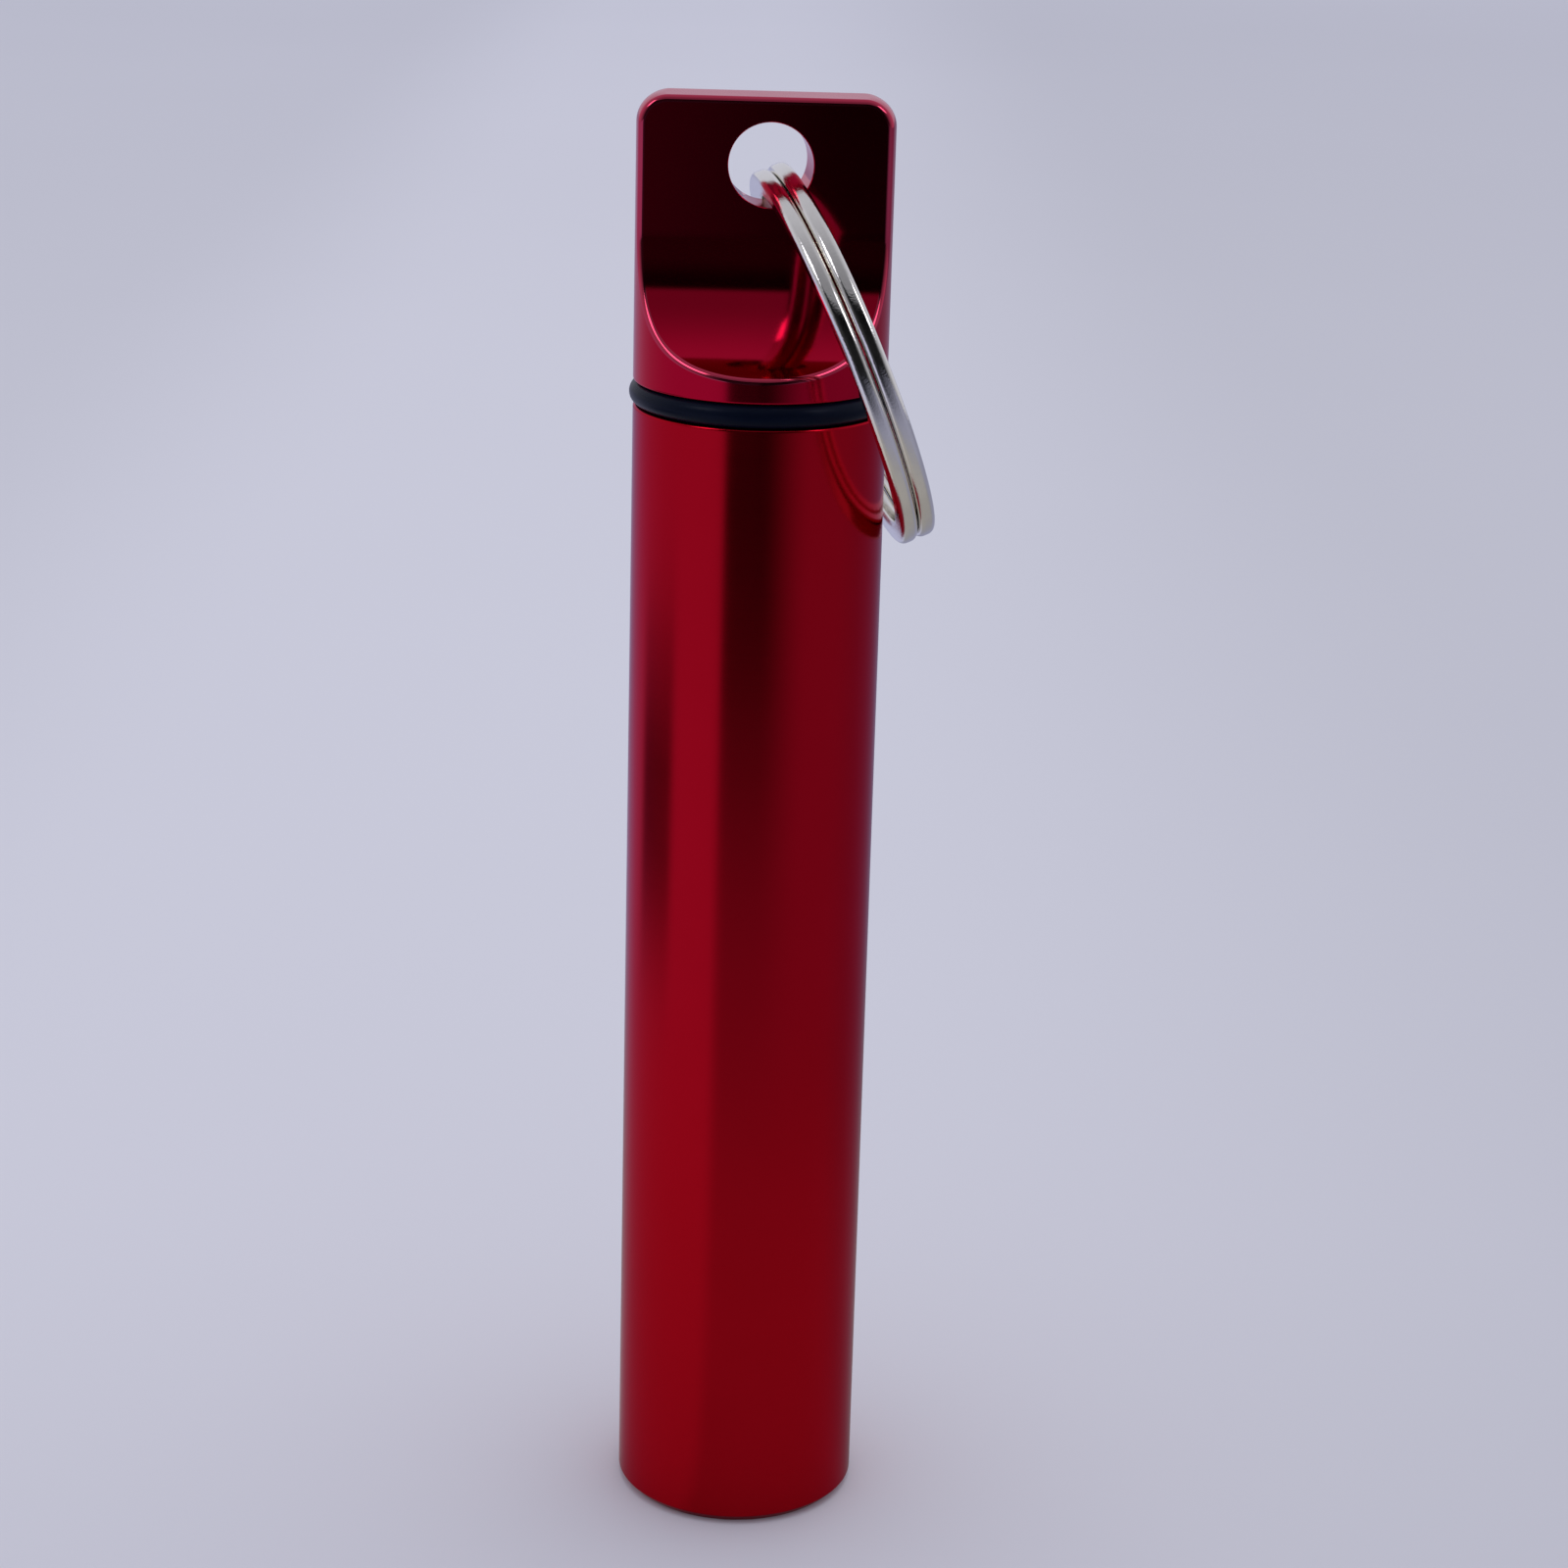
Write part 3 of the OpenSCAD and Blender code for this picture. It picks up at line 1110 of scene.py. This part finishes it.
@dataclass
class SplitRing:
    """The split key ring, hung in the cross hole and leaning on the tube. Sizes in millimetres."""

    outside: float = 25.0
    width: float = 1.6
    thickness: float = 1.1
    rounding: float = 0.4
    gap: float = 0.06
    turns: float = 698 / 360
    step_turn: float = 22 / 360
    start_turn: float = 100 / 360
    taper_turn: float = 0.006
    eye_at: Point = (0.15, 0.0, 90.2)
    skew_deg: float = 5.75
    lean_deg: float = 22.343
    centre: float = 12.9705
    yaw_deg: float = -4.0
    sharp_deg: float = 50.0
    steps: int = 560

    def place(self) -> Matrix:
        """Finds where the ring hangs.

        Returns:
            The way there from a ring about its own centre.
        """
        turn = Matrix.Rotation(math.radians(self.skew_deg), 4, "Z")
        hang = Matrix.Rotation(math.radians(90 - self.lean_deg), 4, "Y")
        yaw = Matrix.Rotation(math.radians(self.yaw_deg), 4, "X")
        return Matrix.Translation(self.eye_at) @ turn @ hang @ Matrix.Translation((self.centre, 0, 0)) @ yaw

    def build(self, finish: Material, tree: NodeTree) -> None:
        """Makes the ring.

        Args:
            finish: its finish.
            tree: geometry tree of a coiled wire.
        """
        ring = geometry_mesh("key_ring", tree, {
            "Radius": (self.outside - self.width) / 2,
            "Width": self.width,
            "Thickness": self.thickness,
            "Rounding": self.rounding,
            "Coil Step": self.thickness + self.gap,
            "Turns": self.turns,
            "Step Turn": self.step_turn,
            "Start Turn": self.start_turn,
            "End Taper": self.taper_turn,
            "Steps": self.steps,
            "Material": finish,
        })
        ring.data.set_sharp_from_angle(angle=math.radians(self.sharp_deg))
        ring.data.transform(TO_METRES @ self.place())
        hand_over(ring, Body.RING, "split_ring")


# Studio


@dataclass(frozen=True)
class Camera:
    """The camera at the photograph's angle, in millimetres, pixels and degrees."""

    at: Point = (0.93, -214.04, 118.34)
    focal_px: float = 3516.0
    frame_px: float = 1600.0
    sensor: float = 36.0
    pan_deg: float = 0.337
    pitch_deg: float = 17.726
    roll_deg: float = 1.579
    nearest_m: float = 0.01
    furthest_m: float = 20.0

    def build(self) -> None:
        """Makes the camera."""
        data = bpy.data.cameras.new("camera")
        data.sensor_width = self.sensor
        data.lens = self.focal_px / self.frame_px * data.sensor_width
        data.clip_start = self.nearest_m
        data.clip_end = self.furthest_m
        camera = bpy.data.objects.new("camera", data)
        pan, pitch, roll = (math.radians(v) for v in (self.pan_deg, self.pitch_deg, self.roll_deg))
        ahead = Vector((math.sin(pan) * math.cos(pitch), math.cos(pan) * math.cos(pitch), -math.sin(pitch)))
        right = Vector((math.cos(pan), -math.sin(pan), 0))
        up = right.cross(ahead)
        x = right * math.cos(roll) + up * math.sin(roll)
        y = up * math.cos(roll) - right * math.sin(roll)
        turn = Matrix((x, y, -ahead)).transposed().to_4x4()
        camera.matrix_world = Matrix.Translation(Vector(self.at) * MM) @ turn
        bpy.context.scene.collection.objects.link(camera)
        bpy.context.scene.camera = camera


@dataclass(frozen=True)
class Room:
    """The world: plain to the camera and to diffuse rays, and a room with a dark front to the metal.

    A turn is an azimuth from the camera's side, and a rise is an angle above the floor.
    """

    pale: Colour = (0.55, 0.56, 0.67)
    sky: Colour = (0.60, 0.61, 0.72)
    dark_left: Step = over_degrees(-60, -28, 0, 1)
    dark_right: Step = over_degrees(20, 60, 1, 0)
    dark_top: Step = over_degrees(38, 43, 1, 0)
    towards_front: Step = Step(-0.3, 0.75, 1, 0.45)
    aloft: Step = over_degrees(20, 60, 1, 0.85)
    gloom_rise: Step = over_degrees(12, 34, 0.035, 0.006)
    gloom_turn: Step = over_degrees(-3, 3, 1.3, 0.4)
    panel_turn_deg: float = 58.0
    panel_rise_deg: float = 42.0
    panel_width: Step = over_degrees(10, 15, 4.5, 0)
    panel_height: Step = over_degrees(8, 13, 1, 0)

    def _mirrored(self, graph: Graph) -> NodeSocket:
        """Works out the room's level: its sky, the dark front and a bright panel on each side.

        Args:
            graph: the world's graph.

        Returns:
            The level in each direction.
        """
        _, parts = graph.place("Generated")
        turn = graph.azimuth(parts)
        rise = graph.math("ARCSINE", parts["Z"])
        dark = graph.ramps((turn, self.dark_left), (turn, self.dark_right), (rise, self.dark_top))
        front = graph.ramps((graph.product(parts["Y"], -1.0), self.towards_front), (rise, self.aloft))
        gloom = graph.ramps((rise, self.gloom_rise), (turn, self.gloom_turn))
        aside = graph.off_by(graph.math("ABSOLUTE", turn), math.radians(self.panel_turn_deg))
        above = graph.off_by(rise, math.radians(self.panel_rise_deg))
        level = graph.math("MULTIPLY_ADD", dark, gloom, graph.product(front, graph.less(1.0, dark)))
        return graph.math("ADD", level, graph.ramps((aside, self.panel_width), (above, self.panel_height)))

    def build(self) -> None:
        """Makes the world."""
        world = bpy.data.worlds.new("studio")
        world.use_nodes = True
        bpy.context.scene.world = world
        graph = Graph(world.node_tree)
        rays = graph.add("ShaderNodeLightPath").outputs
        metal = graph.dimmed(self.sky, self._mirrored(graph))
        soft = graph.mix(rays["Is Glossy Ray"], self.sky, metal)
        colour = graph.mix(rays["Is Camera Ray"], soft, self.pale)
        back = graph.out("ShaderNodeBackground", {"Color": colour, "Strength": 1.0})
        graph.add("ShaderNodeOutputWorld", {"Surface": back})


@dataclass(frozen=True)
class PaperFloor:
    """The floor: a pale sheet with painted shade across it to the camera, and to every other ray a pattern of
    painted light and shade, with a painted shadow in front, that the metal mirrors.

    Distances are in metres from the fob's foot, and a turn is an azimuth from the camera's side.
    """

    size: float = 6.0
    paper: Colour = (0.66, 0.67, 0.84)
    # Painted reflection: a warmer tint near the foot, which only rays other than the camera's see
    painted_warm_near: Colour = (0.66, 0.64, 0.58)
    near: Step = Step(0.04, 0.14, 0, 1)
    # Painted light on the left and painted shade on the right, which the metal mirrors
    lit_far: Step = Step(0.02, 0.08, 1.02, 1.10)
    lit_turn: Step = over_degrees(-160, -135, 0.80, 1)
    dim_far: Step = Step(0.03, 0.10, 0.79, 0.64)
    dim_turn: Step = over_degrees(75, 110, 1, 0.88)
    lit_to_dim: Step = over_degrees(-36, -20, 0, 1)
    # Painted shadow in front of the fob, which the metal mirrors
    painted_shadow_left: Step = over_degrees(-32, -26, 0, 1)
    painted_shadow_right: Step = over_degrees(4, 50, 1, 0)
    painted_shadow_away: Step = Step(0.06, 0.27, 0, 0.9)
    painted_shadow_beyond: Step = Step(0.30, 0.60, 0, 1)
    painted_shadow_gloom: Step = over_degrees(-3.5, 1.8, -0.064, 0.08)
    # Painted dark band on the left, which the metal mirrors
    painted_band_turn_deg: float = -96.5
    painted_band_width: Step = over_degrees(14, 26, 0.76, 0)
    painted_band_near: Step = Step(0.09, 0.15, 0, 1)
    painted_band_far: Step = Step(0.18, 0.27, 1, 0)
    sheet: Colour = (0.765, 0.765, 0.80)
    cloud_shade: float = 0.985
    cloud_scale: float = 9.0
    # Painted shade on the sheet that the camera sees: darker to the right, at the far left and in front, and
    # a little lighter at the back
    painted_shade_right: Step = Step(-0.01, 0.10, 1, 0.865)
    painted_shade_left: Step = Step(-0.135, -0.065, 0.92, 1.02)
    painted_shade_front: Step = Step(-0.06, 0.05, 0.915, 1)
    painted_light_back: Step = Step(0.55, 0.95, 1, 1.04)
    horizon: Step = Step(0.9, 2.2, 0, 1)
    horizon_level: float = 1.2

    def _mirrored(self, graph: Graph, far: NodeSocket, turn: NodeSocket) -> NodeSocket:
        """Paints light and shade on the floor for every ray but the camera's, which the metal mirrors: a
        lighter left and a dimmer right, a painted shadow in front, a painted dark band on the left, and a
        painted warmer tint near the foot.

        Args:
            graph: the paper's graph.
            far: distance from the foot.
            turn: azimuth.

        Returns:
            The colour.
        """
        lit = graph.ramps((far, self.lit_far), (turn, self.lit_turn))
        dim = graph.ramps((far, self.dim_far), (turn, self.dim_turn))
        level = graph.math("MULTIPLY_ADD", graph.ramp(turn, self.lit_to_dim), graph.less(dim, lit), lit)
        beyond = graph.ramps((far, self.painted_shadow_beyond), (turn, self.painted_shadow_gloom))
        away = graph.math("ADD", graph.ramp(far, self.painted_shadow_away), beyond)
        front = graph.product(graph.ramps((turn, self.painted_shadow_left), (turn, self.painted_shadow_right)), away)
        across = graph.off_by(turn, math.radians(self.painted_band_turn_deg))
        along = graph.ramps((far, self.painted_band_near), (far, self.painted_band_far))
        dark = graph.math("MAXIMUM", front, graph.product(graph.ramp(across, self.painted_band_width), along))
        # Painted reflection: the warmer tint near the foot
        tint = graph.mix(graph.ramp(far, self.near), self.painted_warm_near, self.paper)
        return graph.dimmed(tint, graph.product(level, graph.less(1.0, dark)))

    def _seen(self, graph: Graph, place: NodeSocket, parts: object, far: NodeSocket) -> NodeSocket:
        """Colours the sheet that the camera sees, with painted shade: darker to the right, at the far left
        and in front, a little lighter at the back, and brighter far off where it meets the sky.

        Args:
            graph: the paper's graph.
            place: the place on the floor.
            parts: its coordinates.
            far: distance from the foot.

        Returns:
            The colour.
        """
        across = graph.ramps((parts["X"], self.painted_shade_right), (parts["X"], self.painted_shade_left))
        fall = graph.product(across, graph.ramps((parts["Y"], self.painted_shade_front), (parts["Y"], self.painted_light_back)))
        rest = graph.less(self.horizon_level, fall)
        level = graph.math("MULTIPLY_ADD", graph.ramp(far, self.horizon), rest, fall)
        shaded = tuple(c * self.cloud_shade for c in self.sheet)
        return graph.dimmed(graph.mix(graph.noise(place, self.cloud_scale, 2.0), shaded, self.sheet), level)

    def build(self) -> None:
        """Makes the floor."""
        half = self.size / 2
        mesh = bpy.data.meshes.new("floor")
        corners = [(x * half, y * half, 0) for x, y in ((-1, -1), (1, -1), (1, 1), (-1, 1))]
        mesh.from_pydata(corners, [], [(0, 1, 2, 3)])
        floor = bpy.data.objects.new("floor", mesh)
        bpy.context.scene.collection.objects.link(floor)
        material = bpy.data.materials.new("paper")
        material.use_nodes = True
        graph = Graph(material.node_tree)
        place, parts = graph.place("Object")
        far = graph.add("ShaderNodeVectorMath", {0: place}, operation="LENGTH").outputs["Value"]
        camera_ray = graph.add("ShaderNodeLightPath").outputs["Is Camera Ray"]
        seen = self._seen(graph, place, parts, far)
        colour = graph.mix(camera_ray, self._mirrored(graph, far, graph.azimuth(parts)), seen)
        shader = graph.out("ShaderNodeBsdfDiffuse", {"Color": colour})
        graph.add("ShaderNodeOutputMaterial", {"Surface": shader})
        mesh.materials.append(material)


@dataclass(frozen=True)
class SoftLamp:
    """One large soft lamp overhead, which the metal does not mirror. Lengths in metres, power in watts."""

    at: Point = (0.1, 0.2, 1.2)
    aim: Point = (0.0, 0.0, 0.05)
    size: float = 0.9
    power: float = 2.5
    colour: Colour = (1.0, 0.99, 0.97)

    def build(self) -> None:
        """Makes the lamp."""
        data = bpy.data.lights.new("soft_lamp", "AREA")
        data.shape = "DISK"
        data.size = self.size
        data.energy = self.power
        data.color = self.colour
        lamp = bpy.data.objects.new("soft_lamp", data)
        lamp.visible_glossy = False
        turn = (Vector(self.at) - Vector(self.aim)).to_track_quat("Z", "Y").to_matrix().to_4x4()
        lamp.matrix_world = Matrix.Translation(self.at) @ turn
        bpy.context.scene.collection.objects.link(lamp)


def build_studio() -> None:
    """Makes the studio round the fob and sets the plain view."""
    bpy.context.scene.view_settings.view_transform = "Standard"
    for part in (Camera(), Room(), PaperFloor(), SoftLamp()):
        part.build()
        log.info("studio: %s", type(part).__name__)


def main() -> None:
    """Builds the studio, the finishes and the four sub-assemblies in order."""
    logging.basicConfig(level=logging.INFO, format="%(name)s %(message)s")
    build_studio()
    effects = Effects()
    tube_red = AnodisedRed("tube_red", (0.49, 0.0036, 0.0140), (0.45, 0.0032, 0.0115),
                           edge_tint=(0.80, 0.62, 0.73))
    turned = AnodisedRed("turned_red", (0.49, 0.0034, 0.025), (0.45, 0.0030, 0.021))
    milled = MilledRed("milled_red", (0.48, 0.0034, 0.027), (0.44, 0.0030, 0.023))
    # The broken edges get a paler, pinker red: a painted sheen standing in for the clear coat's highlights
    broken = MilledRed("broken_edge_painted_sheen_red", (0.55, 0.055, 0.100), (0.50, 0.035, 0.075))
    rubber = BlackRubber("moulded_rubber", (0.003, 0.006, 0.017), (0.002, 0.004, 0.011))
    nickel = NickelPlate("bright_nickel", (0.88, 0.85, 0.76), (0.80, 0.77, 0.69))
    cap_finishes = {Skin.TURNED: turned, Skin.MILLED: milled, Skin.BROKEN: broken}
    ridge = PathTree.ridge()
    CapsuleTube().build(tube_red.build(effects), ridge)
    ScrewCap().build({skin: finish.build(effects) for skin, finish in cap_finishes.items()}, ridge)
    SealRing().build(rubber.build(effects), PathTree.bead())
    SplitRing().build(nickel.build(effects), PathTree.coil())


if __name__ == "__main__":
    main()
